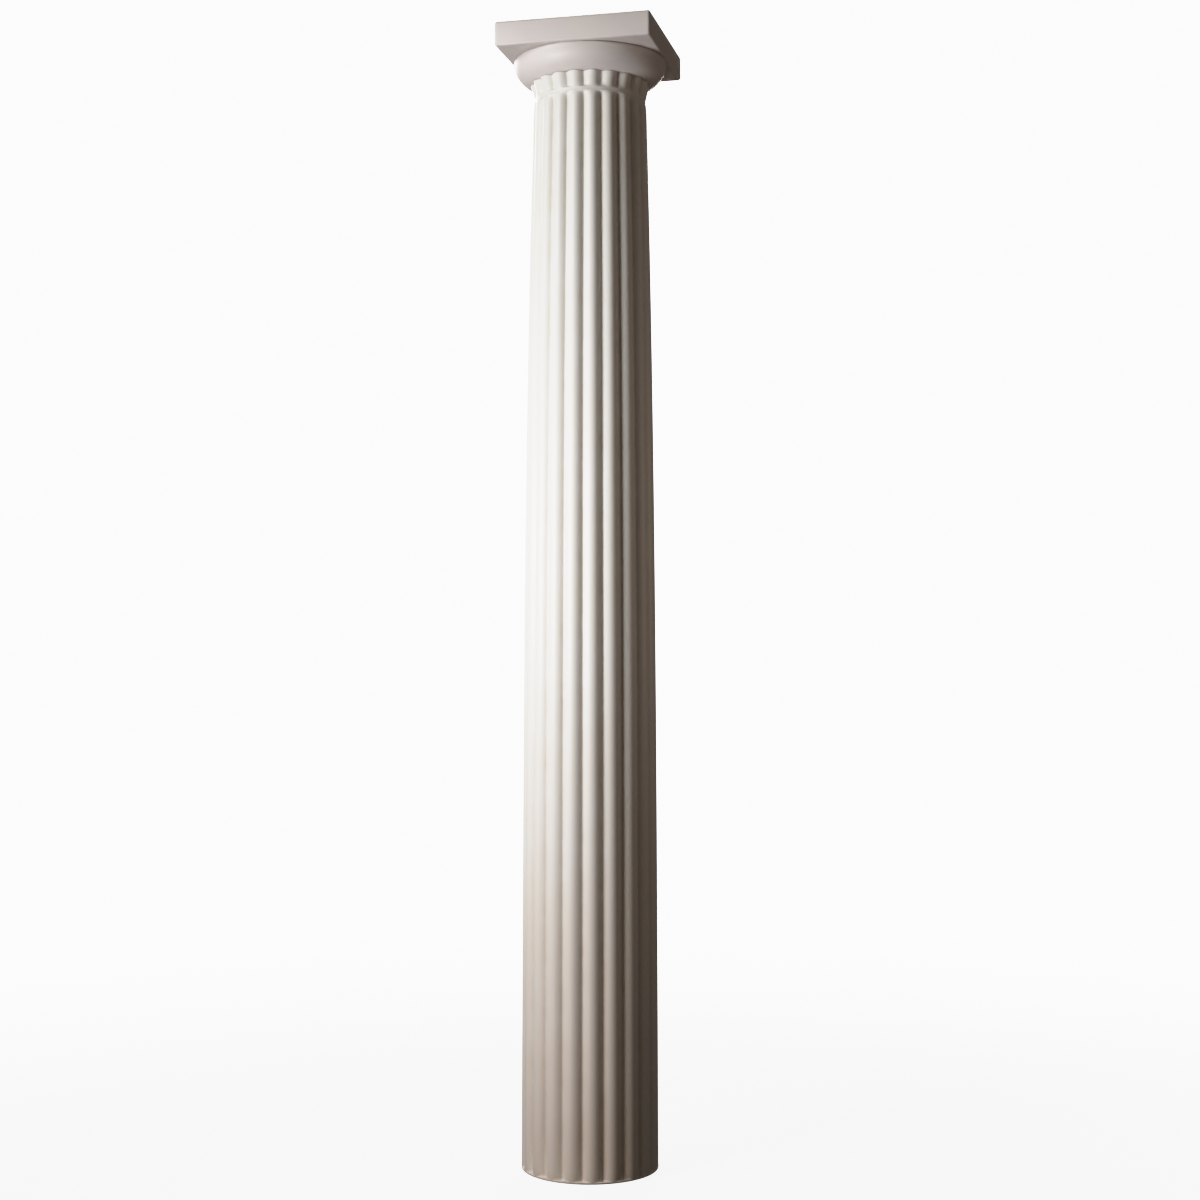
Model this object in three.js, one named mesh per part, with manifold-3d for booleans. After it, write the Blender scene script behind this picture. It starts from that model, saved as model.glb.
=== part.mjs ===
// A fluted column: a tapering shaft with entasis and a pinched neck ring, under an echinus and an abacus.
// Millimetres, +Z up, origin at the centre of the underside, abacus faces square to X and Y, front at -Y.
import * as THREE from 'three';
import { mergeVertices } from 'three/addons/utils/BufferGeometryUtils.js';
import Module from 'manifold-3d';

// Heights
const HEIGHT = 2438;
const ABACUS_HEIGHT = 52;
const ECHINUS_HEIGHT = 49;
const NECK_HEIGHT = 38;

// Shaft, with diameters over the crests of its ribs
const FOOT_DIAMETER = 296;
const TOP_DIAMETER = 244;
const STRAIGHT_TAPER_SHARE = 0.3;
const FOOT_EDGE = 2.5;
const FOOT_RIM = 4;
const PINCH_DEPTH = 2;
const PINCH_LENGTH = 25;
const NECK_TOP_DIAMETER = 257;
const NECK_FLARE_POWER = 1.5;

// Flutes: narrow hollows between broad rounded ribs, with a rib near the middle of each face
const FLUTES = 20;
const SHAFT_TURN = THREE.MathUtils.degToRad(-2);
const RIB_SHARE = 0.86;
const FLUTE_DEPTH = 9;
const FOOT_RUN_OUT = 4;
const RUN_OUT = 18;
const PLAIN_BAND = 8;

// Capital
const ECHINUS_BED_DIAMETER = 259;
const ECHINUS_TOP_DIAMETER = 329;
const ECHINUS_START = THREE.MathUtils.degToRad(27);
const ABACUS_WIDTH = 335;
const ABACUS_EDGE = 6;

// Fineness of the faceted surfaces; the steps are shares of the pitch from one rib's crest to the next
const PITCH_STEPS = [0, 0.22, 0.43, 0.5, 0.57, 0.78];
const SHAFT_RINGS = 10;
const SCOOP_RINGS = 4;
const ECHINUS_RINGS = 8;
const ECHINUS_FACETS = 96;
const EDGE_FACETS = 3;

const ABACUS_BOTTOM = HEIGHT - ABACUS_HEIGHT;
const NECK_TOP = ABACUS_BOTTOM - ECHINUS_HEIGHT;
const RING = NECK_TOP - NECK_HEIGHT;
const PITCH = (2 * Math.PI) / FLUTES;

const wasm = await Module();
wasm.setup();

// Radius over the ribs at a height: the entasis and the pinch up to the ring, then the flaring neck
function ribRadius(z) {
  const ringRadius = TOP_DIAMETER / 2 - PINCH_DEPTH;
  if (z > RING) {
    const flare = ((z - RING) / NECK_HEIGHT) ** NECK_FLARE_POWER;
    return THREE.MathUtils.lerp(ringRadius, NECK_TOP_DIAMETER / 2, flare);
  }
  const rise = z / RING;
  const taper = THREE.MathUtils.lerp(rise ** 3, rise, STRAIGHT_TAPER_SHARE);
  const closeness = Math.max(1 - (RING - z) / PINCH_LENGTH, 0);
  return THREE.MathUtils.lerp(FOOT_DIAMETER, TOP_DIAMETER, taper) / 2 - PINCH_DEPTH * closeness ** 2;
}

// Depth of the flutes at a height as a share of their full depth: they end in round scoops
// on both sides of the ring and, more shortly, on the plain rim of the foot
function fluteFullness(z) {
  const fromRing = (Math.abs(z - RING) - PLAIN_BAND / 2) / RUN_OUT;
  const fromRim = (z - FOOT_RIM) / FOOT_RUN_OUT;
  const short = THREE.MathUtils.clamp(1 - Math.min(fromRing, fromRim), 0, 1);
  return Math.sqrt(1 - short ** 2);
}

// Depth below the crests at a share of the pitch: a convex rib curves over into the hollow of the flute
function fluteSection(share) {
  const fromCrest = 2 * Math.min(share, 1 - share);
  if (fromCrest <= RIB_SHARE) {
    return fromCrest ** 2 / RIB_SHARE;
  }
  return 1 - (1 - fromCrest) ** 2 / (1 - RIB_SHARE);
}

// Distances from a flute's tip to the rings of vertices in its scooped end, closer together towards the tip
function scoopDistances(length) {
  const distances = [];
  for (let i = 0; i <= SCOOP_RINGS; i += 1) {
    distances.push(length * (1 - Math.cos((Math.PI / 2) * (i / SCOOP_RINGS))));
  }
  return distances;
}

// Heights of the shaft's rings above its rounded foot
function shaftHeights() {
  const footScoopEnd = FOOT_RIM + FOOT_RUN_OUT;
  const lowerTip = RING - PLAIN_BAND / 2;
  const upperTip = RING + PLAIN_BAND / 2;
  const heights = [FOOT_EDGE];
  for (const distance of scoopDistances(FOOT_RUN_OUT)) {
    heights.push(FOOT_RIM + distance);
  }
  for (let i = 1; i < SHAFT_RINGS; i += 1) {
    heights.push(THREE.MathUtils.lerp(footScoopEnd, lowerTip - RUN_OUT, i / SHAFT_RINGS));
  }
  for (const distance of scoopDistances(RUN_OUT).reverse()) {
    heights.push(lowerTip - distance);
  }
  heights.push(RING);
  for (const distance of scoopDistances(RUN_OUT)) {
    heights.push(upperTip + distance);
  }
  heights.push(NECK_TOP);
  return heights;
}

// The turned shaft with its flutes pressed in between the ribs
function shaftGeometry() {
  const outline = [new THREE.Vector2(0, 0), new THREE.Vector2(ribRadius(0) - FOOT_EDGE, 0)];
  for (const z of shaftHeights()) {
    outline.push(new THREE.Vector2(ribRadius(z), z));
  }
  outline.push(new THREE.Vector2(0, NECK_TOP));
  const geometry = new THREE.LatheGeometry(outline, FLUTES * PITCH_STEPS.length);
  const position = geometry.attributes.position;
  for (let i = 0; i < position.count; i += 1) {
    const column = Math.floor(i / outline.length);
    const { x: radius, y: z } = outline[i % outline.length];
    const share = PITCH_STEPS[column % PITCH_STEPS.length];
    const angle = SHAFT_TURN + (Math.floor(column / PITCH_STEPS.length) + share) * PITCH;
    const sunk = Math.max(radius - FLUTE_DEPTH * fluteSection(share) * fluteFullness(z), 0);
    position.setXYZ(i, sunk * Math.sin(angle), z, sunk * Math.cos(angle));
  }
  return geometry.rotateX(Math.PI / 2);
}

// The echinus: a flat bed, an elliptical cushion and a plain core that ends inside the abacus
function echinusGeometry() {
  const bedRadius = ECHINUS_BED_DIAMETER / 2;
  const topRadius = ECHINUS_TOP_DIAMETER / 2;
  const spread = (topRadius - bedRadius) / (1 - Math.sin(ECHINUS_START));
  const rise = ECHINUS_HEIGHT / Math.cos(ECHINUS_START);
  const start = ECHINUS_START - Math.PI / 2;
  const cushion = new THREE.EllipseCurve(topRadius - spread, ABACUS_BOTTOM, spread, rise, start, 0);
  const coreTop = ABACUS_BOTTOM + ABACUS_HEIGHT / 2;
  const outline = [
    new THREE.Vector2(0, NECK_TOP),
    ...cushion.getPoints(ECHINUS_RINGS),
    new THREE.Vector2(topRadius, coreTop),
    new THREE.Vector2(0, coreTop),
  ];
  return new THREE.LatheGeometry(outline, ECHINUS_FACETS).rotateX(Math.PI / 2);
}

// The abacus: a square block with softly rounded edges
function abacusGeometry() {
  const half = ABACUS_WIDTH / 2 - ABACUS_EDGE;
  const square = new THREE.Shape();
  square.moveTo(-half, -half);
  square.lineTo(half, -half);
  square.lineTo(half, half);
  square.lineTo(-half, half);
  const block = new THREE.ExtrudeGeometry(square, {
    depth: ABACUS_HEIGHT - 2 * ABACUS_EDGE,
    bevelThickness: ABACUS_EDGE,
    bevelSize: ABACUS_EDGE,
    bevelSegments: EDGE_FACETS,
  });
  return block.translate(0, 0, ABACUS_BOTTOM + ABACUS_EDGE);
}

// A geometry as a solid that can be joined to others, without the flat triangles at its poles
function toSolid(geometry) {
  const bare = geometry.clone().deleteAttribute('normal').deleteAttribute('uv');
  const merged = mergeVertices(bare);
  const triangles = [];
  for (let i = 0; i < merged.index.count; i += 3) {
    const corners = [0, 1, 2].map((k) => merged.index.getX(i + k));
    if (new Set(corners).size === 3) {
      triangles.push(...corners);
    }
  }
  const vertProperties = new Float32Array(merged.attributes.position.array);
  const triVerts = new Uint32Array(triangles);
  return new wasm.Manifold(new wasm.Mesh({ numProp: 3, vertProperties, triVerts }));
}

// A joined solid as a geometry again
function toGeometry(solid) {
  const mesh = solid.getMesh();
  const geometry = new THREE.BufferGeometry();
  geometry.setAttribute('position', new THREE.BufferAttribute(mesh.vertProperties, mesh.numProp));
  geometry.setIndex(new THREE.BufferAttribute(mesh.triVerts, 1));
  geometry.computeVertexNormals();
  return geometry;
}

// One named piece with a satin moulded finish
function piece(name, geometry, color) {
  const material = new THREE.MeshStandardMaterial({ color, roughness: 0.6, metalness: 0 });
  const mesh = new THREE.Mesh(geometry, material);
  mesh.name = name;
  return mesh;
}

const column = new THREE.Group();
column.add(piece('shaft', shaftGeometry(), '#e6e1d6'));
const capitalSolid = toSolid(echinusGeometry()).add(toSolid(abacusGeometry()));
column.add(piece('capital', toGeometry(capitalSolid), '#e2dbd8'));

export default column;
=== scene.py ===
"""Looks of a fluted column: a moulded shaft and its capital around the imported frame, in a plain studio."""

import logging
import math
from collections.abc import Callable, Iterator
from contextlib import contextmanager
from dataclasses import dataclass
from enum import Enum
from typing import ClassVar

import bmesh
import bpy
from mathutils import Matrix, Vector


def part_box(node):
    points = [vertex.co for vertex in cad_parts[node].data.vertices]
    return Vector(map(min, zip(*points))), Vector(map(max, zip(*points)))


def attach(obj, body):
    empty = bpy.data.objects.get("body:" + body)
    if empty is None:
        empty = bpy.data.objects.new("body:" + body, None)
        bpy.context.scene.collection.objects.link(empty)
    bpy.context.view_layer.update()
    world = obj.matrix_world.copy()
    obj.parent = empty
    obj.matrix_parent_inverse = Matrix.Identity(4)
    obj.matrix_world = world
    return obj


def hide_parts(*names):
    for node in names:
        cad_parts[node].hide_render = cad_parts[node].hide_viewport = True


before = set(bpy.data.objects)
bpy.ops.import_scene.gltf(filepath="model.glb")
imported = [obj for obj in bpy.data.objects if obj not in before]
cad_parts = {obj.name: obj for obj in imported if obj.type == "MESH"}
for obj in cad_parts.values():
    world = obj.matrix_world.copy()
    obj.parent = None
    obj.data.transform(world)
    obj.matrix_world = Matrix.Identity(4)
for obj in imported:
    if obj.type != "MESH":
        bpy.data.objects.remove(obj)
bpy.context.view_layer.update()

LOG = logging.getLogger("column")

# Lengths are in metres; places closer than TINY are one, and a corner is found within NEAR of its place
MM = 0.001
TINY = 0.05 * MM
NEAR = 0.5 * MM
AXIS = (0.0, 0.0, 1.0)
ORIGIN = (0.0, 0.0, 0.0)
SMOOTH_ANGLE = math.radians(40)

# The vertex attribute that says how deep in a flute or in the joint under the capital a place lies, which
# sets its dust and painted shade
HOLLOW = "hollow"

# Colour sockets of a mix node, whose names its number sockets share
MIX_FROM = 6
MIX_TO = 7
MIX_RESULT = 2

# The curve of a curve mapping that acts on all three colours together
COMBINED_CURVE = 3

# Width and height of the photograph
PHOTO_PIXELS = 1200


class Node(Enum):
    """The frame's nodes that the pieces stand for."""

    SHAFT = "shaft"
    CAPITAL = "capital"


class Slot(Enum):
    """The record's material slots."""

    SHAFT = "shaft_gelcoat"
    CAPITAL = "capital_gelcoat"


def to_linear(hex_colour: str) -> tuple[float, float, float, float]:
    """Turn an sRGB hex colour into linear light.

    Args:
        hex_colour: Six hex digits after a hash sign.

    Returns:
        Red, green, blue and a full alpha.
    """
    channels = [int(hex_colour[i : i + 2], 16) / 255 for i in (1, 3, 5)]
    # The sRGB curve is straight near black and a power curve above
    linear = [c / 12.92 if c <= 0.04045 else ((c + 0.055) / 1.055) ** 2.4 for c in channels]
    return (*linear, 1.0)


def clear_nodes(owner: bpy.types.Material | bpy.types.World) -> bpy.types.NodeTree:
    """Give a material or a world an empty node tree.

    Args:
        owner: The material or the world.

    Returns:
        Its node tree.
    """
    owner.use_nodes = True
    owner.node_tree.nodes.clear()
    return owner.node_tree


def add_node(
    tree: bpy.types.NodeTree, kind: str, inputs: dict[str | int, object] | None = None, **settings: object
) -> bpy.types.Node:
    """Add a shader node with its settings, values and links.

    Args:
        tree: The node tree that takes the node.
        kind: Blender's name for the node type.
        inputs: Socket name or number to a value, or to an output socket to link.
        **settings: Properties of the node itself.

    Returns:
        The new node.
    """
    node = tree.nodes.new(kind)
    for name, value in settings.items():
        setattr(node, name, value)
    for key, value in (inputs or {}).items():
        if isinstance(value, bpy.types.NodeSocket):
            tree.links.new(value, node.inputs[key])
        else:
            node.inputs[key].default_value = value
    return node


def azimuth(place: Vector) -> float:
    """Angle of a place about the column's axis, from the front (-Y) towards +X, in radians."""
    return math.atan2(place.x, -place.y)


def blend(low: float, high: float, share: float) -> float:
    """Value that lies a share of the way from low to high."""
    return low + (high - low) * share


def clamp(value: float) -> float:
    """Value kept between 0 and 1."""
    return min(max(value, 0.0), 1.0)


def rounding(distance: float, edge: float) -> float:
    """How far a quarter-round edge draws in a surface at a distance from the end of the surface."""
    return edge * (1 - math.sqrt(1 - clamp(1 - distance / edge) ** 2))


def deselect_all() -> None:
    """Leave no object selected, because an operator acts on all that is."""
    bpy.ops.object.select_all(action="DESELECT")


def activate(piece: bpy.types.Object) -> None:
    """Make one object the only selected one and the active one.

    Args:
        piece: The object to work on next.
    """
    deselect_all()
    piece.select_set(True)
    bpy.context.view_layer.objects.active = piece


@contextmanager
def editing(piece: bpy.types.Object) -> Iterator[None]:
    """Hold one piece alone in edit mode, where vertices are selected.

    Args:
        piece: The mesh object to edit.

    Yields:
        Nothing, once the piece is in edit mode.
    """
    activate(piece)
    bpy.ops.object.mode_set(mode="EDIT")
    bpy.ops.mesh.select_mode(type="VERT")
    yield
    bpy.ops.object.mode_set(mode="OBJECT")


def pick(piece: bpy.types.Object, test: Callable[[Vector], bool]) -> None:
    """Select, in edit mode, the vertices whose place passes a test and nothing else.

    Args:
        piece: The mesh object in edit mode.
        test: Says of a vertex's place whether it is wanted.
    """
    mesh = bmesh.from_edit_mesh(piece.data)
    for vertex in mesh.verts:
        vertex.select = test(vertex.co)
    if not any(vertex.select for vertex in mesh.verts):
        raise ValueError(f"{piece.name} has nothing at the place to pick")
    mesh.select_flush_mode()
    bmesh.update_edit_mesh(piece.data)


def close_seams() -> None:
    """Merge the doubled vertices of the piece in edit mode and turn its faces outwards."""
    bpy.ops.mesh.select_all(action="SELECT")
    bpy.ops.mesh.remove_doubles(threshold=TINY)
    bpy.ops.mesh.normals_make_consistent(inside=False)


def apply_modifier(piece: bpy.types.Object, kind: str, **settings: object) -> None:
    """Add a modifier to a piece and apply it.

    Args:
        piece: The mesh object.
        kind: Blender's name for the modifier type.
        **settings: Properties of the modifier.
    """
    modifier = piece.modifiers.new(kind.title(), kind)
    for name, value in settings.items():
        setattr(modifier, name, value)
    activate(piece)
    bpy.ops.object.modifier_apply(modifier=modifier.name)


@dataclass(frozen=True)
class Gelcoat:
    """Satin gelcoat on a moulded glass-fibre shell.

    It was sprayed on a waxed mould, so it is smooth and even with a soft sheen, and close to it shows a
    faint orange peel. Years of handling leave slow patches of tone. Dust and painted shade darken the
    hollows, and a band along one edge of each piece is darker: grime at the shaft's foot and painted
    shade under the abacus.

    Attributes:
        name: The material's name.
        colour: The clean gelcoat.
        patch_colour: The same gelcoat where it has aged.
        dust_and_shade_colour: Of the dust and painted shade in the hollows and of the band along one edge.
        dust_and_shade_cover: The most of the gelcoat's colour that the dust and painted shade take over.
        dust_and_shade_thinnest: The least of it, as a share of the most.
        dust_and_shade_limits: Noise values at which the dust and painted shade are thinnest and thickest.
        dust_and_shade_share: Width of a patch of dust and painted shade as a share of the width of a patch
            of tone.
        patch_size: Width of a patch of tone.
        patch_limits: Noise values at which the gelcoat is clean and fully aged.
        peel_size: Spacing of the orange peel, drawn about twice as coarse as it is so that it shows.
        peel_height: Height of the orange peel.
        peel_strength: Share of that height that catches the light.
        roughness: The lowest and the highest roughness.
        ior: Of polyester resin.
        grime_and_shade_cover: How dark the band along one edge is, where 1 is the bottom of a hollow.
        grime_and_shade_reach: How far that band spreads from the edge.
    """

    name: str
    colour: str
    patch_colour: str
    dust_and_shade_colour: str
    dust_and_shade_cover: float = 0.45
    dust_and_shade_thinnest: float = 0.4
    dust_and_shade_limits: tuple[float, float] = (0.3, 0.7)
    dust_and_shade_share: float = 0.25
    patch_size: float = 260 * MM
    patch_limits: tuple[float, float] = (0.35, 0.65)
    peel_size: float = 5 * MM
    peel_height: float = 0.05 * MM
    peel_strength: float = 0.6
    roughness: tuple[float, float] = (0.33, 0.43)
    ior: float = 1.5
    grime_and_shade_cover: float = 0.7
    grime_and_shade_reach: float = 30 * MM

    def material(self, grime_and_shade_level: float) -> bpy.types.Material:
        """Build the material.

        Args:
            grime_and_shade_level: Height of the edge along which the darker band lies.

        Returns:
            The finished material.
        """
        material = bpy.data.materials.new(self.name)
        tree = clear_nodes(material)
        place = add_node(tree, "ShaderNodeTexCoord").outputs["Object"]
        patches = add_node(
            tree,
            "ShaderNodeTexNoise",
            {"Vector": place, "Scale": 1 / self.patch_size, "Detail": 4.0, "Roughness": 0.55},
        ).outputs[0]
        clean, aged = self.patch_limits
        tone = add_node(
            tree, "ShaderNodeMapRange", {"Value": patches, "From Min": clean, "From Max": aged}
        ).outputs[0]
        toned = add_node(
            tree,
            "ShaderNodeMix",
            {"Factor": tone, MIX_FROM: to_linear(self.colour), MIX_TO: to_linear(self.patch_colour)},
            data_type="RGBA",
        ).outputs[MIX_RESULT]
        # Dust and painted shade in the hollows, and a darker band along one edge
        dusted_and_shaded = self._dust_and_shade(tree, place, toned, grime_and_shade_level)
        peel = add_node(
            tree,
            "ShaderNodeTexNoise",
            {"Vector": place, "Scale": 1 / self.peel_size, "Detail": 2.0, "Roughness": 0.4},
        ).outputs[0]
        bump = add_node(
            tree,
            "ShaderNodeBump",
            {"Strength": self.peel_strength, "Distance": self.peel_height, "Height": peel},
        ).outputs[0]
        glossiest, dullest = self.roughness
        sheen = add_node(
            tree, "ShaderNodeMapRange", {"Value": tone, "To Min": glossiest, "To Max": dullest}
        ).outputs[0]
        shader = add_node(
            tree,
            "ShaderNodeBsdfPrincipled",
            {"Base Color": dusted_and_shaded, "Roughness": sheen, "Normal": bump, "IOR": self.ior},
        ).outputs[0]
        add_node(tree, "ShaderNodeOutputMaterial", {"Surface": shader})
        return material

    def _dust_and_shade(
        self,
        tree: bpy.types.NodeTree,
        place: bpy.types.NodeSocket,
        under: bpy.types.NodeSocket,
        grime_and_shade_level: float,
    ) -> bpy.types.NodeSocket:
        """Lay dust and painted shade in the hollows, and a darker band along one edge.

        Args:
            tree: The material's nodes.
            place: Object coordinates.
            under: The colour below the dust.
            grime_and_shade_level: Height of the edge along which the darker band lies.

        Returns:
            The colour with the dust and the painted shade.
        """
        # A piece without the attribute has no hollows and reads 0 here
        hollow = add_node(tree, "ShaderNodeAttribute", attribute_name=HOLLOW).outputs["Fac"]
        height = add_node(tree, "ShaderNodeSeparateXYZ", {"Vector": place}).outputs["Z"]
        above = add_node(
            tree, "ShaderNodeMath", {0: height, 1: grime_and_shade_level}, operation="SUBTRACT"
        ).outputs[0]
        away = add_node(tree, "ShaderNodeMath", {0: above}, operation="ABSOLUTE").outputs[0]
        # The band along one edge: grime at the shaft's foot, painted shade under the abacus
        grime_and_shade_band = add_node(
            tree,
            "ShaderNodeMapRange",
            {"Value": away, "From Max": self.grime_and_shade_reach, "To Min": self.grime_and_shade_cover, "To Max": 0.0},
            interpolation_type="SMOOTHSTEP",
        ).outputs[0]
        most = add_node(tree, "ShaderNodeMath", {0: hollow, 1: grime_and_shade_band}, operation="MAXIMUM").outputs[0]
        dust_and_shade_size = self.dust_and_shade_share * self.patch_size
        broken = add_node(
            tree,
            "ShaderNodeTexNoise",
            {"Vector": place, "Scale": 1 / dust_and_shade_size, "Detail": 6.0, "Roughness": 0.6},
        ).outputs[0]
        thin, thick = self.dust_and_shade_limits
        uneven = add_node(
            tree,
            "ShaderNodeMapRange",
            {
                "Value": broken,
                "From Min": thin,
                "From Max": thick,
                "To Min": self.dust_and_shade_thinnest * self.dust_and_shade_cover,
                "To Max": self.dust_and_shade_cover,
            },
        ).outputs[0]
        cover = add_node(tree, "ShaderNodeMath", {0: most, 1: uneven}, operation="MULTIPLY").outputs[0]
        return add_node(
            tree,
            "ShaderNodeMix",
            {"Factor": cover, MIX_FROM: under, MIX_TO: to_linear(self.dust_and_shade_colour)},
            data_type="RGBA",
        ).outputs[MIX_RESULT]


@dataclass(frozen=True)
class BackdropPaper:
    """Matt pale studio paper on the floor.

    It glows by itself, more strongly far away, so that it goes over into the backdrop without a line.

    Attributes:
        glow_colour: Colour of the glow.
        near_glow: Strength of the glow round the column.
        far_glow: Strength of the glow far away.
        near: Distance from the column at which the glow starts to grow.
        far: Distance at which it is at its strongest.
        colour: The paper.
    """

    glow_colour: str
    near_glow: float
    far_glow: float
    near: float = 0.6
    far: float = 4.0
    colour: str = "#B0B0B0"

    def material(self) -> bpy.types.Material:
        """Build the material.

        Returns:
            The finished material.
        """
        material = bpy.data.materials.new("matt_backdrop_paper")
        tree = clear_nodes(material)
        place = add_node(tree, "ShaderNodeTexCoord").outputs["Object"]
        away = add_node(tree, "ShaderNodeVectorMath", {0: place}, operation="LENGTH").outputs["Value"]
        strength = add_node(
            tree,
            "ShaderNodeMapRange",
            {
                "Value": away,
                "From Min": self.near,
                "From Max": self.far,
                "To Min": self.near_glow,
                "To Max": self.far_glow,
            },
            interpolation_type="SMOOTHSTEP",
        ).outputs[0]
        paper = add_node(tree, "ShaderNodeBsdfDiffuse", {"Color": to_linear(self.colour)}).outputs[0]
        glow = add_node(
            tree, "ShaderNodeEmission", {"Color": to_linear(self.glow_colour), "Strength": strength}
        ).outputs[0]
        both = add_node(tree, "ShaderNodeAddShader", {0: paper, 1: glow}).outputs[0]
        add_node(tree, "ShaderNodeOutputMaterial", {"Surface": both})
        return material


@dataclass
class Casting:
    """One moulded piece of the column.

    Attributes:
        node: The frame's node that it stands for.
        slot: The record's slot for its finish; not used.
        finish: What its surface is.
    """

    node: ClassVar[Node]
    slot: ClassVar[Slot]
    finish: Gelcoat

    def __post_init__(self) -> None:
        """Take the heights of its ends from the frame."""
        low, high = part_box(self.node.value)
        self.bottom: float = low.z
        self.top: float = high.z

    def dress(self, piece: bpy.types.Object, grime_and_shade_level: float) -> None:
        """Shade a piece smoothly and give it its finish and its place in the frame.

        Args:
            piece: The finished mesh object.
            grime_and_shade_level: Height of its edge along which the darker band lies.
        """
        activate(piece)
        bpy.ops.object.shade_smooth_by_angle(angle=SMOOTH_ANGLE)
        piece.data.materials.clear()
        piece.data.materials.append(self.finish.material(grime_and_shade_level))
        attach(piece, "root")
        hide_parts(self.node.value)


@dataclass
class Shaft(Casting):
    """The fluted shaft with its pinched neck ring and the short fluted neck above it, one casting.

    The flutes are narrow hollows between broad rounded ribs. Radii are over the crests of the ribs.

    Attributes:
        flutes: How many there are.
        steps: Facets from one rib's crest to the next.
        turn: Angle by which the ribs stand turned against the abacus.
        rib_share: Share of the way from a crest to the bottom of a flute that is convex.
        flute_depth: From a crest to the bottom of a flute.
        foot_radius: At the floor, before the edge is rounded.
        top_radius: At the ring, before it is pinched.
        straight_taper_share: Share of the taper that is straight; the rest makes the swelling.
        foot_edge: Rounding of the foot's edge.
        foot_rim: Height of the plain rim below the flutes.
        foot_run_out: Length of the flutes' scooped ends on that rim.
        neck_height: From the ring to the capital.
        neck_top_radius: Under the capital, before the edge is rounded.
        neck_flare_power: How late the neck flares out.
        neck_edge: Rounding of the neck's upper edge.
        pinch_depth: How far the ring is drawn in.
        pinch_length: Length over which the shaft is drawn in below the ring.
        run_out: Length of the flutes' scooped ends at the ring.
        plain_band: Height of the plain band between those ends.
        long_step: Spacing of the rings of vertices along the shaft.
        fine_step: Their spacing about the ring and the neck.
        edge_steps: Rings of vertices in a rounded edge or in the scooped ends at the foot.
        cap_inset: Size of the inner part of a flat end as a share of the whole end.
    """

    node: ClassVar[Node] = Node.SHAFT
    slot: ClassVar[Slot] = Slot.SHAFT
    flutes: int = 20
    steps: int = 40
    turn: float = math.radians(-2.0)
    rib_share: float = 0.86
    flute_depth: float = 9 * MM
    foot_radius: float = 148 * MM
    top_radius: float = 122 * MM
    straight_taper_share: float = 0.3
    foot_edge: float = 2.5 * MM
    foot_rim: float = 4 * MM
    foot_run_out: float = 4 * MM
    neck_height: float = 38 * MM
    neck_top_radius: float = 128.5 * MM
    neck_flare_power: float = 1.5
    neck_edge: float = 2.5 * MM
    pinch_depth: float = 2 * MM
    pinch_length: float = 25 * MM
    run_out: float = 18 * MM
    plain_band: float = 8 * MM
    long_step: float = 90 * MM
    fine_step: float = 1.5 * MM
    edge_steps: int = 4
    cap_inset: float = 0.9

    def __post_init__(self) -> None:
        """Work out the height of the ring and the angles between ribs and between facets."""
        super().__post_init__()
        self.ring: float = self.top - self.neck_height
        self.pitch: float = 2 * math.pi / self.flutes
        self.step: float = self.pitch / self.steps

    def crest_radius(self, z: float) -> float:
        """Radius over the ribs: rounded foot, entasis, pinch at the ring, flaring neck.

        Args:
            z: Height above the floor.

        Returns:
            The radius at that height.
        """
        ring_radius = self.top_radius - self.pinch_depth
        if z > self.ring:
            flare = ((z - self.ring) / self.neck_height) ** self.neck_flare_power
            edge = rounding(self.top - z, self.neck_edge)
            return blend(ring_radius, self.neck_top_radius, flare) - edge
        rise = z / self.ring
        taper = blend(rise**3, rise, self.straight_taper_share)
        pinch = self.pinch_depth * clamp(1 - (self.ring - z) / self.pinch_length) ** 2
        return blend(self.foot_radius, self.top_radius, taper) - pinch - rounding(z, self.foot_edge)

    def fullness(self, z: float) -> float:
        """Depth of the flutes as a share of their full depth: they run out at the ring and the foot's rim.

        Args:
            z: Height above the floor.

        Returns:
            The share, from 0 on the plain bands to 1.
        """
        from_ring = (abs(z - self.ring) - self.plain_band / 2) / self.run_out
        from_rim = (z - self.foot_rim) / self.foot_run_out
        short = clamp(1 - min(from_ring, from_rim))
        return math.sqrt(1 - short**2)

    def section(self, from_crest: float) -> float:
        """Depth below a crest as a share of the flute's depth: a convex rib curves over into the hollow.

        Args:
            from_crest: Distance round from the crest, where 1 is the bottom of the flute.

        Returns:
            The depth, from 0 on the crest to 1 in the flute.
        """
        if from_crest <= self.rib_share:
            return from_crest**2 / self.rib_share
        return 1 - (1 - from_crest) ** 2 / (1 - self.rib_share)

    def radius(self, z: float, from_crest: float) -> float:
        """Radius of the fluted surface at a height and a distance round from the crest."""
        return self.crest_radius(z) - self.flute_depth * self.section(from_crest) * self.fullness(z)

    def levels(self) -> list[float]:
        """Heights of the rings of vertices, close together where the shape changes quickly.

        Returns:
            The heights above the foot's flat underside, rising.
        """
        shares = [1 - math.cos(math.pi / 2 * i / self.edge_steps) for i in range(self.edge_steps)]
        foot = [self.foot_edge * share for share in shares[1:]] + [self.foot_edge]
        scoops = [self.foot_rim + self.foot_run_out * share for share in shares]
        plain_start = self.foot_rim + self.foot_run_out
        fine_start = self.ring - max(self.pinch_length, self.run_out + self.plain_band)
        plain_count = round((fine_start - plain_start) / self.long_step)
        plain = [blend(plain_start, fine_start, i / plain_count) for i in range(plain_count)]
        fine_end = self.top - self.neck_edge
        fine_count = round((fine_end - fine_start) / self.fine_step)
        fine = [blend(fine_start, fine_end, i / fine_count) for i in range(fine_count + 1)]
        neck = [self.top - self.neck_edge * share for share in reversed(shares)]
        return foot + scoops + plain + fine + neck

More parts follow.
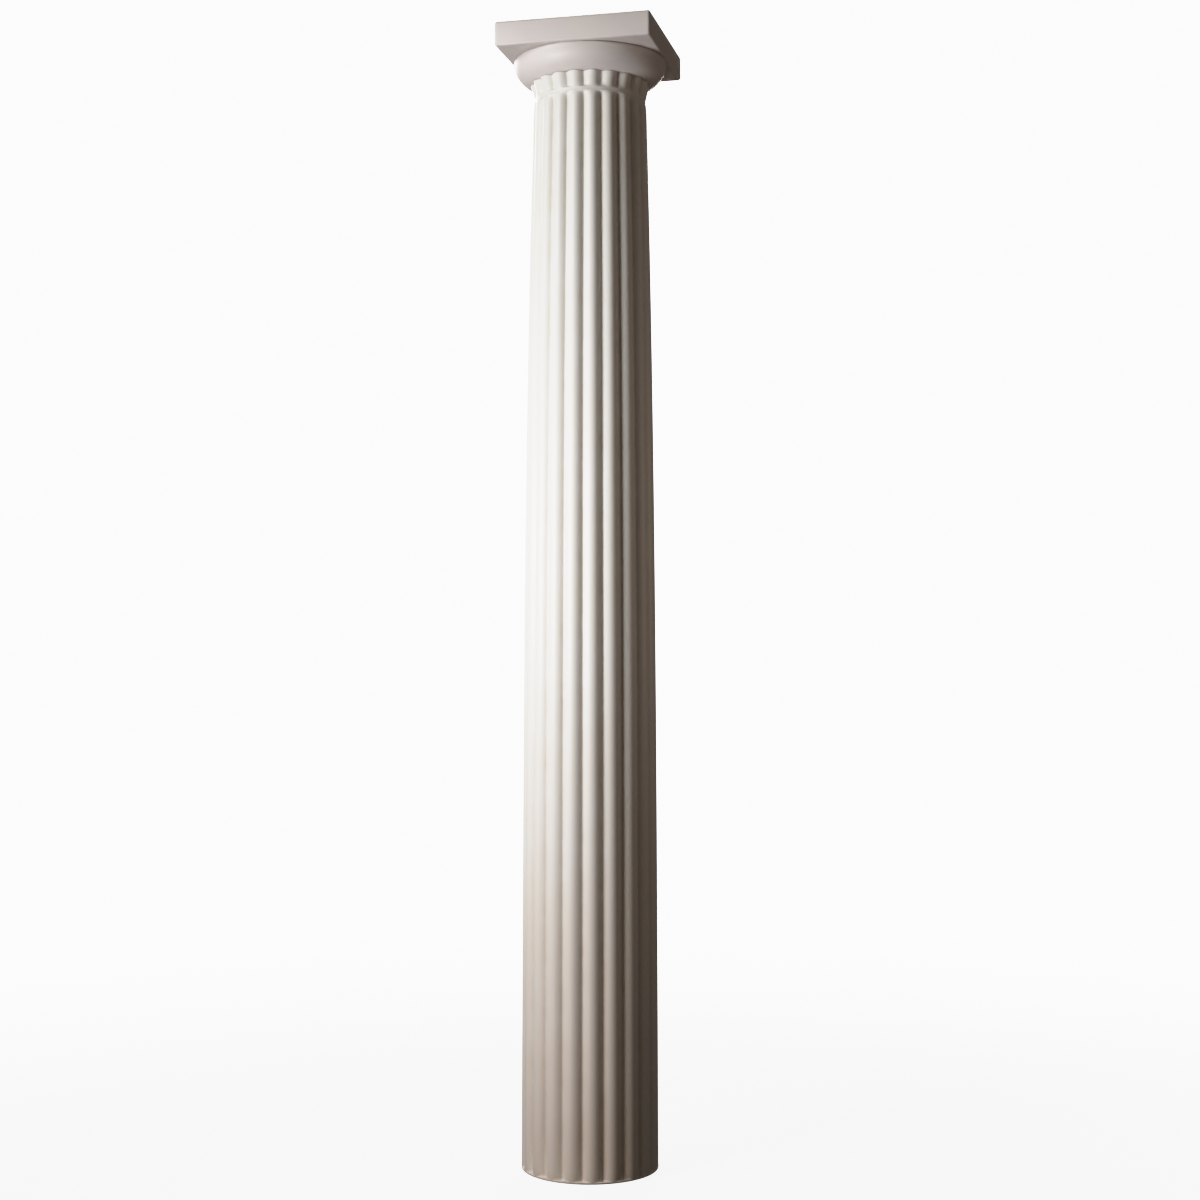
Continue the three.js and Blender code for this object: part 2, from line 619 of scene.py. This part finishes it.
    def build(self) -> bpy.types.Object:
        """Model one rib from the foot to the neck's top and turn it round the axis.

        Returns:
            The shaft, dressed and riding on the column.
        """
        deselect_all()
        around = self.flutes * self.steps
        bpy.ops.mesh.primitive_circle_add(vertices=around, radius=self.foot_radius, location=ORIGIN)
        piece = bpy.context.object
        piece.name = piece.data.name = "shaft_fluted"
        with editing(piece):
            self._keep_one_rib(piece)
            self._raise_rib(piece)
            bpy.ops.mesh.select_all(action="SELECT")
            copies = self.flutes - 1
            bpy.ops.mesh.spin(
                steps=copies, dupli=True, angle=self.pitch * copies, center=ORIGIN, axis=AXIS
            )
            close_seams()
            for z in (self.bottom, self.top):
                self._close_end(piece, z)
            close_seams()
            # Without a window the operator turns the other way
            bpy.ops.transform.rotate(value=-self.turn, orient_axis="Z", center_override=ORIGIN)
        self._mark_hollows(piece)
        # The band along the foot is grime
        self.dress(piece, self.bottom)
        return piece

    def _keep_one_rib(self, piece: bpy.types.Object) -> None:
        """Delete all of the circle but the arc of the front rib, from flute to flute.

        Args:
            piece: The circle in edit mode.
        """
        reach = self.pitch / 2 + self.step / 4
        pick(piece, lambda place: abs(azimuth(place)) > reach)
        bpy.ops.mesh.delete(type="VERT")

    def _raise_rib(self, piece: bpy.types.Object) -> None:
        """Shape the arc into the rib's section and extrude it up, level by level.

        Args:
            piece: The arc in edit mode.
        """
        current = {station: self.foot_radius for station in range(self.steps // 2 + 1)}
        below = self.bottom
        self._shape(piece, below, current)
        for z in self.levels():
            pick(piece, lambda place: abs(place.z - below) < TINY)
            bpy.ops.mesh.extrude_edges_move(TRANSFORM_OT_translate={"value": (0.0, 0.0, z - below)})
            self._shape(piece, z, current)
            below = z

    def _shape(self, piece: bpy.types.Object, z: float, current: dict[int, float]) -> None:
        """Scale the pairs of vertices of one level in or out to the fluted section.

        Args:
            piece: The rib in edit mode.
            z: The level's height.
            current: Steps from the crest to the radius that they have now, which is brought up to date.
        """
        for station, radius in current.items():
            wanted = self.radius(z, 2 * station / self.steps)
            pick(
                piece,
                lambda place: abs(place.z - z) < TINY and round(abs(azimuth(place)) / self.step) == station,
            )
            grown = wanted / radius
            bpy.ops.transform.resize(value=(grown, grown, 1.0), center_override=ORIGIN)
            current[station] = wanted

    def _close_end(self, piece: bpy.types.Object, z: float) -> None:
        """Close the foot or the neck's top with a flat face.

        Args:
            piece: The shaft in edit mode.
            z: Height of that end.
        """
        pick(piece, lambda place: abs(place.z - z) < TINY)
        bpy.ops.mesh.extrude_edges_move()
        bpy.ops.transform.resize(value=(self.cap_inset, self.cap_inset, 1.0), center_override=ORIGIN)
        bpy.ops.mesh.edge_face_add()
        bpy.ops.mesh.poke()

    def _mark_hollows(self, piece: bpy.types.Object) -> None:
        """Store how deep in a flute, or in the joint under the capital, each vertex lies, for the dust and
        painted shade.

        Args:
            piece: The finished shaft.
        """
        hollow = piece.data.attributes.new(HOLLOW, "FLOAT", "POINT")
        for vertex, value in zip(piece.data.vertices, hollow.data):
            sunk = self.crest_radius(min(vertex.co.z, self.top)) - vertex.co.xy.length
            joint = 1 - (self.top - vertex.co.z) / self.neck_edge
            # Deep in a flute gets painted shade with the dust; the neck's top edge gets a painted shadow
            # line
            value.value = max(clamp(sunk / self.flute_depth) ** 2, clamp(joint))


@dataclass
class Capital(Casting):
    """The round cushion of the echinus and the square slab of the abacus, one casting.

    Attributes:
        abacus_height: Thickness of the slab.
        abacus_edge: Rounding of the slab's edges.
        edge_segments: Facets across a rounded edge.
        bed_radius: Of the echinus where it lies on the neck.
        bed_edge: Rounding of the bed's edge.
        cushion_radius: Of the echinus at its widest.
        cushion_start: Angle of the cushion's quarter ellipse that the bed cuts off.
        quirk: Depth and height of the small groove under the abacus.
        arc_steps: Facets in a quarter ellipse.
        around: Facets round the axis.
    """

    node: ClassVar[Node] = Node.CAPITAL
    slot: ClassVar[Slot] = Slot.CAPITAL
    abacus_height: float = 52 * MM
    abacus_edge: float = 6 * MM
    edge_segments: int = 5
    bed_radius: float = 129.5 * MM
    bed_edge: float = 2.5 * MM
    cushion_radius: float = 164.5 * MM
    cushion_start: float = math.radians(27)
    quirk: float = 3 * MM
    arc_steps: int = 90
    around: int = 256

    def __post_init__(self) -> None:
        """Take the width from the frame and work out the height of the soffit."""
        super().__post_init__()
        self.half_width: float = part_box(self.node.value)[1].x
        self.soffit: float = self.top - self.abacus_height

    def build(self) -> bpy.types.Object:
        """Model the abacus and the echinus and join them.

        Returns:
            The capital, dressed and riding on the column.
        """
        piece = self._abacus()
        echinus = self._echinus()
        apply_modifier(piece, "BOOLEAN", operation="UNION", object=echinus, solver="EXACT")
        bpy.data.objects.remove(echinus)
        piece.name = piece.data.name = "capital_echinus_abacus"
        # The band along the soffit is painted shade under the abacus
        self.dress(piece, self.soffit)
        return piece

    def _abacus(self) -> bpy.types.Object:
        """Make the square slab with softly rounded edges.

        Returns:
            The slab in its place.
        """
        deselect_all()
        bpy.ops.mesh.primitive_cube_add(size=1.0, location=ORIGIN)
        piece = bpy.context.object
        size = (2 * self.half_width, 2 * self.half_width, self.abacus_height)
        middle = (self.soffit + self.top) / 2
        with editing(piece):
            bpy.ops.mesh.select_all(action="SELECT")
            bpy.ops.transform.resize(value=size, center_override=ORIGIN)
            bpy.ops.transform.translate(value=(0.0, 0.0, middle))
            bpy.ops.mesh.select_all(action="SELECT")
            bpy.ops.mesh.bevel(
                offset=self.abacus_edge, segments=self.edge_segments, profile=0.5, affect="EDGES"
            )
        return piece

    def _echinus(self) -> bpy.types.Object:
        """Turn the cushion's profile, with a quirk under the abacus, round the axis.

        Returns:
            The cushion in its place, with a core that ends inside the abacus.
        """
        deselect_all()
        top = self.soffit - self.quirk
        spread = (self.cushion_radius - self.bed_radius) / (1 - math.sin(self.cushion_start))
        rise = (top - self.bottom) / math.cos(self.cushion_start)
        bpy.ops.mesh.primitive_circle_add(
            vertices=4 * self.arc_steps, radius=1.0, location=ORIGIN, rotation=(math.pi / 2, 0.0, 0.0)
        )
        piece = bpy.context.object
        bpy.ops.object.transform_apply(rotation=True)
        lowest = -math.cos(self.cushion_start)
        widest = Vector((self.cushion_radius, 0.0, top))
        bed = Vector((self.bed_radius, 0.0, self.bottom))
        core_radius = self.cushion_radius - self.quirk
        core_top = self.soffit + self.abacus_height / 2
        with editing(piece):
            pick(piece, lambda place: place.x < TINY or place.z > TINY or place.z < lowest - TINY)
            bpy.ops.mesh.delete(type="VERT")
            bpy.ops.mesh.select_all(action="SELECT")
            bpy.ops.transform.resize(value=(spread, 1.0, rise), center_override=ORIGIN)
            bpy.ops.transform.translate(value=(self.cushion_radius - spread, 0.0, top))
            self._extend(piece, widest, [(core_radius, top), (core_radius, core_top), (0.0, core_top)])
            self._extend(piece, bed, [(0.0, self.bottom)])
            pick(piece, lambda place: (place - bed).length < NEAR)
            bpy.ops.mesh.bevel(offset=self.bed_edge, segments=self.edge_segments, affect="VERTICES")
            bpy.ops.mesh.select_all(action="SELECT")
            bpy.ops.mesh.spin(steps=self.around, angle=2 * math.pi, center=ORIGIN, axis=AXIS)
            close_seams()
        return piece

    def _extend(self, piece: bpy.types.Object, start: Vector, route: list[tuple[float, float]]) -> None:
        """Extrude one end of the profile along straight runs.

        Args:
            piece: The profile in edit mode.
            start: Where the end is.
            route: Radius and height of each further corner.
        """
        pick(piece, lambda place: (place - start).length < NEAR)
        for radius, z in route:
            corner = Vector((radius, 0.0, z))
            bpy.ops.mesh.extrude_vertices_move(TRANSFORM_OT_translate={"value": corner - start})
            start = corner


@dataclass(frozen=True)
class Lamp:
    """A soft box that points at a height on the column's axis.

    Attributes:
        name: The light's name.
        turn: Angle from the camera's side round to the right, in degrees.
        distance: From the column's axis.
        height: Of the light above the floor.
        aim: Height on the axis that it points at.
        size: Width and height of the soft box.
        power: In watts.
        colour: Of the light.
        spread: Angle that the grid in front of it lets through, in degrees.
    """

    name: str
    turn: float
    distance: float
    height: float
    aim: float
    size: tuple[float, float]
    power: float
    colour: str
    spread: float = 180.0

    def place(self, camera_side: float) -> None:
        """Hang the light.

        Args:
            camera_side: The camera's angle about the axis, in radians.
        """
        light = bpy.data.lights.new(self.name, "AREA")
        light.shape = "RECTANGLE"
        light.size, light.size_y = self.size
        light.energy = self.power
        light.spread = math.radians(self.spread)
        light.color = to_linear(self.colour)[:3]
        lamp = bpy.data.objects.new(self.name, light)
        angle = camera_side + math.radians(self.turn)
        lamp.location = (self.distance * math.sin(angle), -self.distance * math.cos(angle), self.height)
        lamp.rotation_mode = "QUATERNION"
        lamp.rotation_quaternion = (Vector((0.0, 0.0, self.aim)) - lamp.location).to_track_quat("-Z", "Y")
        lamp.visible_camera = False
        bpy.context.scene.collection.objects.link(lamp)


@dataclass
class Studio:
    """Camera, lights, floor and backdrop.

    The camera is level. Its side, distance and lens come from the abacus corners and the foot in the
    photograph.

    Attributes:
        camera_side: Angle of the camera about the axis, from the front towards +X.
        camera_distance: From the axis.
        camera_height: Above the floor.
        camera_right: How far to the right of the line to the axis it stands.
        focal_pixels: Focal length in pixels of the photograph.
        horizon_below_middle: Pixels from the middle of the photograph down to the horizon.
        sensor: Width of the sensor in millimetres.
        floor_size: Width of the floor.
        floor_drop: How far below the column's underside it lies.
        floor_glow: Strength of the floor's glow round the column.
        backdrop: Colour of the backdrop.
        backdrop_strength: Its brightness.
        ambient: Colour of the light from all round.
        ambient_strength: Its brightness.
        film: Light in the scene and the light shown for it, from black to white.
    """

    camera_side: float = math.radians(13.4)
    camera_distance: float = 4.187
    camera_height: float = 1.1047
    camera_right: float = 21.3 * MM
    focal_pixels: float = 1934.8
    horizon_below_middle: float = 56.0
    sensor: float = 36.0
    floor_size: float = 200.0
    floor_drop: float = 0.2 * MM
    floor_glow: float = 1.3
    backdrop: str = "#FFFFFF"
    backdrop_strength: float = 2.6
    ambient: str = "#FFF1E5"
    ambient_strength: float = 0.036
    film: tuple[tuple[float, float], ...] = (
        (0.0, 0.0),
        (0.4, 0.4),
        (0.6, 0.59),
        (0.76, 0.72),
        (1.0, 0.84),
        (1.3, 0.9),
        (1.8, 0.94),
        (2.6, 0.97),
    )

    def build(self) -> None:
        """Set up everything that isn't the column."""
        self._film()
        self._camera()
        for lamp in self.lamps():
            lamp.place(self.camera_side)
        self._floor()
        self._world()

    def lamps(self) -> list[Lamp]:
        """Two lamps from the left, a warm one low at the foot, a weak fill, two behind and one above.

        Returns:
            The lamps to hang.
        """
        daylight = "#FFFCF8"
        return [
            Lamp(
                "key", turn=-55.0, distance=1.5, height=1.4, aim=1.4,
                size=(0.8, 0.5), power=20.5, colour="#F8FAFF", spread=150.0,
            ),
            Lamp(
                "high", turn=-54.0, distance=2.2, height=2.75, aim=2.2,
                size=(1.2, 0.6), power=23.5, colour="#FFFDFA",
            ),
            Lamp(
                "low", turn=-40.0, distance=1.2, height=0.15, aim=0.1,
                size=(0.7, 0.4), power=1.8, colour="#FFBE8C",
            ),
            Lamp(
                "fill", turn=75.0, distance=2.1, height=1.5, aim=1.5,
                size=(2.4, 1.0), power=2.3, colour="#FFE6D2", spread=115.0,
            ),
            Lamp(
                "back right", turn=175.0, distance=2.4, height=2.9, aim=1.2,
                size=(0.8, 0.6), power=40.0, colour=daylight,
            ),
            Lamp(
                "back left", turn=-150.0, distance=2.4, height=2.9, aim=1.2,
                size=(0.8, 0.6), power=24.0, colour=daylight,
            ),
            Lamp(
                "top", turn=180.0, distance=0.5, height=4.0, aim=2.4,
                size=(0.8, 0.8), power=18.0, colour=daylight,
            ),
        ]

    def _film(self) -> None:
        """Give the picture a film's soft shoulder, so that the bright side stays short of white."""
        view = bpy.context.scene.view_settings
        view.view_transform = "Standard"
        view.use_curve_mapping = True
        white, white_shown = self.film[-1]
        view.curve_mapping.white_level = (white, white, white)
        points = view.curve_mapping.curves[COMBINED_CURVE].points
        points[-1].location = (1.0, white_shown)
        for light, shown in self.film[1:-1]:
            points.new(light / white, shown)
        view.curve_mapping.update()

    def _camera(self) -> None:
        """Stand the camera where the photograph was taken from."""
        data = bpy.data.cameras.new("camera")
        data.sensor_width = self.sensor
        data.lens = self.focal_pixels / PHOTO_PIXELS * self.sensor
        data.shift_y = self.horizon_below_middle / PHOTO_PIXELS
        camera = bpy.data.objects.new("camera", data)
        side, back = math.sin(self.camera_side), -math.cos(self.camera_side)
        across = Vector((-back, side, 0.0)) * self.camera_right
        camera.location = Vector((side, back, 0.0)) * self.camera_distance + across
        camera.location.z = self.camera_height
        camera.rotation_euler = (math.pi / 2, 0.0, self.camera_side)
        bpy.context.scene.collection.objects.link(camera)
        bpy.context.scene.camera = camera

    def _floor(self) -> None:
        """Lay a pale floor that gives no light back to the column."""
        deselect_all()
        bpy.ops.mesh.primitive_plane_add(size=self.floor_size, location=(0.0, 0.0, -self.floor_drop))
        floor = bpy.context.object
        floor.name = "floor"
        floor.visible_diffuse = False
        floor.visible_glossy = False
        paper = BackdropPaper(self.backdrop, self.floor_glow, self.backdrop_strength)
        floor.data.materials.append(paper.material())

    def _world(self) -> None:
        """Show a pale backdrop and give a faint warm light from all round."""
        world = bpy.data.worlds.new("studio")
        tree = clear_nodes(world)
        seen = add_node(tree, "ShaderNodeLightPath").outputs["Is Camera Ray"]
        shown = add_node(
            tree,
            "ShaderNodeBackground",
            {"Color": to_linear(self.backdrop), "Strength": self.backdrop_strength},
        ).outputs[0]
        around = add_node(
            tree,
            "ShaderNodeBackground",
            {"Color": to_linear(self.ambient), "Strength": self.ambient_strength},
        ).outputs[0]
        both = add_node(tree, "ShaderNodeMixShader", {0: seen, 1: around, 2: shown}).outputs[0]
        add_node(tree, "ShaderNodeOutputWorld", {"Surface": both})
        bpy.context.scene.world = world


def main() -> None:
    """Build the column and the studio and log how many faces each piece has."""
    logging.basicConfig(level=logging.INFO)
    cream = Gelcoat(
        "satin_gelcoat_cream",
        colour="#EAE7E0",
        patch_colour="#E6E1D6",
        # Dust in the flutes with painted shade there and in the joint, and grime at the foot
        dust_and_shade_colour="#B9A896",
    )
    pale_mauve = Gelcoat(
        "satin_gelcoat_pale_mauve",
        colour="#E0D9D2",
        patch_colour="#DDD3CF",
        # On the capital this colour only paints shade under the abacus
        dust_and_shade_colour="#A99A8C",
        dust_and_shade_cover=0.25,
        patch_size=150 * MM,
        roughness=(0.38, 0.48),
        grime_and_shade_reach=9 * MM,
    )
    for assembly in (Shaft(cream), Capital(pale_mauve)):
        piece = assembly.build()
        LOG.info("%s: %d faces", piece.name, len(piece.data.polygons))
    Studio().build()
    LOG.info("studio set")


if __name__ == "__main__":
    main()
